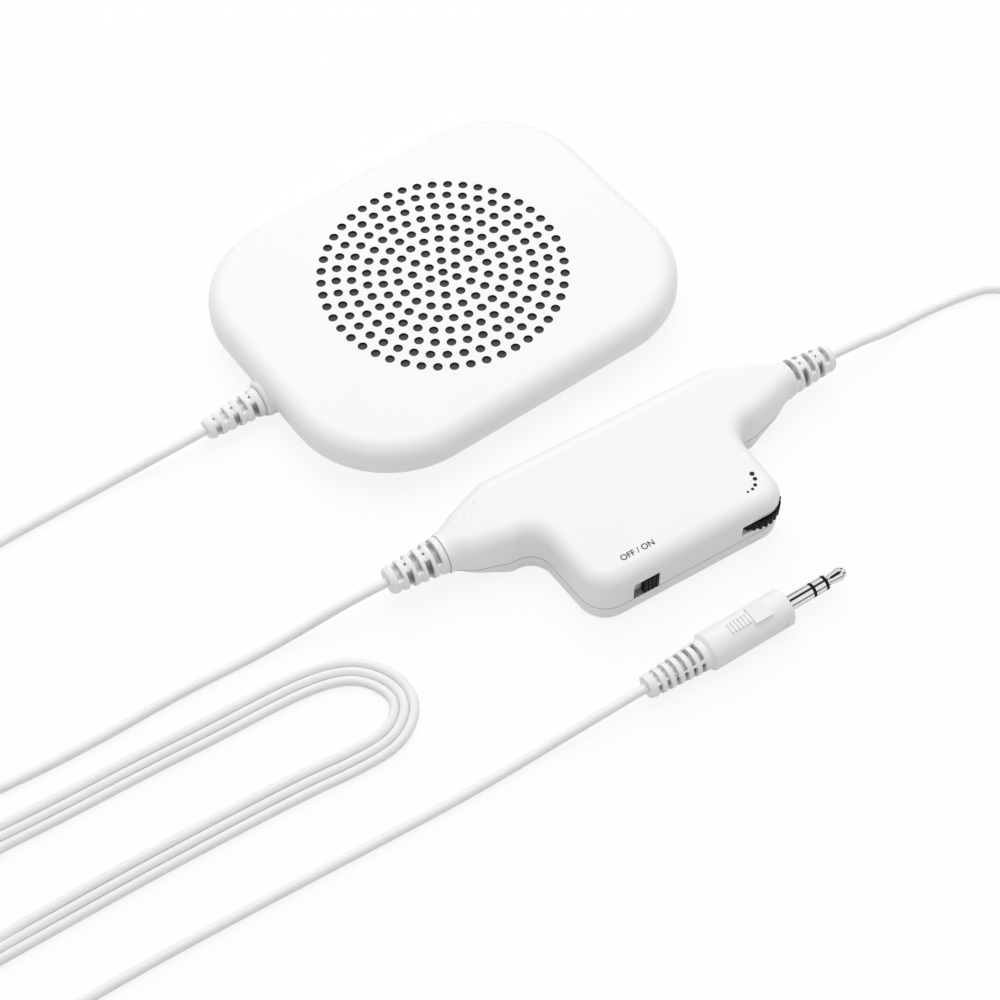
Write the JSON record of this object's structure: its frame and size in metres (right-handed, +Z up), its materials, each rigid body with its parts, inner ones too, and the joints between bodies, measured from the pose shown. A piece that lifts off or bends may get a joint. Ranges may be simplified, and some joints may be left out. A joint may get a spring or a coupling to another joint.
{
  "type": "pillow speaker",
  "caption": "Flat rounded pillow speaker pad with a ring-pattern grille, an in-line battery amplifier with thumbwheel and slide switch, and a long thin cord to a stereo plug",
  "frame": {"origin": "the point on the table under the middle of the speaker pad, on the pad's flat underside", "axes": "+X along the pad's long axis, the cord's strain relief leaves the pad towards -X; +Y across the pad, away from the amplifier; +Z up from the table, through the grille"},
  "size_m": [0.3108, 0.2592, 0.015],
  "materials": {
    "white_plastic": "fine satin texture on white moulded ABS",
    "white_rubber": "smooth white flexible PVC",
    "cord_jacket": "smooth white PVC jacket with a low sheen",
    "black_plastic": "black moulded plastic",
    "black_rubber": "soft black rubber",
    "black_cloth": "fine black woven cloth and felt",
    "paper": "pressed dark paper cone",
    "plated_steel": "zinc plated steel",
    "ferrite": "dark grey pressed ferrite",
    "copper": "enamelled copper wire",
    "nickel": "polished nickel plate",
    "board": "green laminate",
    "cell_wrap": "plain printed cell wrap"
  },
  "bodies": {
    "speaker_set": {"front_cover": "white_plastic", "rear_cover": "white_plastic", "grille_cloth": "black_cloth", "driver_gasket": "black_cloth", "driver_basket": "plated_steel", "driver_magnet": "ferrite", "driver_yoke": "plated_steel", "voice_coil": "copper", "driver_cone": "paper", "dust_cap": "paper", "cone_surround": "black_rubber", "terminal_tag": "board", "pad_screws": "plated_steel", "pad_boot": "white_rubber", "amp_upper_shell": "white_plastic", "amp_lower_shell": "white_plastic", "volume_potentiometer": "black_plastic", "power_switch": "plated_steel", "circuit_board": "board", "amplifier_chip": "black_plastic", "capacitors": "black_plastic", "battery_cells": "cell_wrap", "battery_contacts": "plated_steel", "amp_screws": "plated_steel", "amp_left_boot": "white_rubber", "amp_right_boot": "white_rubber", "plug_grip": "white_rubber", "plug_sleeve": "nickel", "plug_ring": "nickel", "plug_insulators": "black_plastic", "plug_tip": "nickel", "speaker_cord": "cord_jacket", "amp_cord": "cord_jacket", "cord_hank": "cord_jacket", "plug_cord_out": "cord_jacket", "plug_cord_in": "cord_jacket", "cord_coil": "cord_jacket", "coil_tie": "black_rubber"},
    "volume_control": {"volume_wheel": "black_plastic", "volume_wheel_screw": "plated_steel"},
    "switch_slider": {"power_switch_knob": "black_plastic"},
    "battery_cover": {"battery_door": "white_plastic"}
  },
  "joints": [
    {"name": "volume_turn", "type": "hinge", "parent": "speaker_set", "child": "volume_control", "pos_m": [0.01784, -0.09486, 0.00875], "axis": [0, 0, 1], "range_deg": [-150, 150]},
    {"name": "switch_slide", "type": "slide", "parent": "speaker_set", "child": "switch_slider", "axis": [-0.9962, 0.0872, 0], "range_m": [0, 0.0027]},
    {"name": "door_slide", "type": "slide", "parent": "speaker_set", "child": "battery_cover", "axis": [0.0872, 0.9962, 0], "range_m": [0, 0.01]}
  ]
}
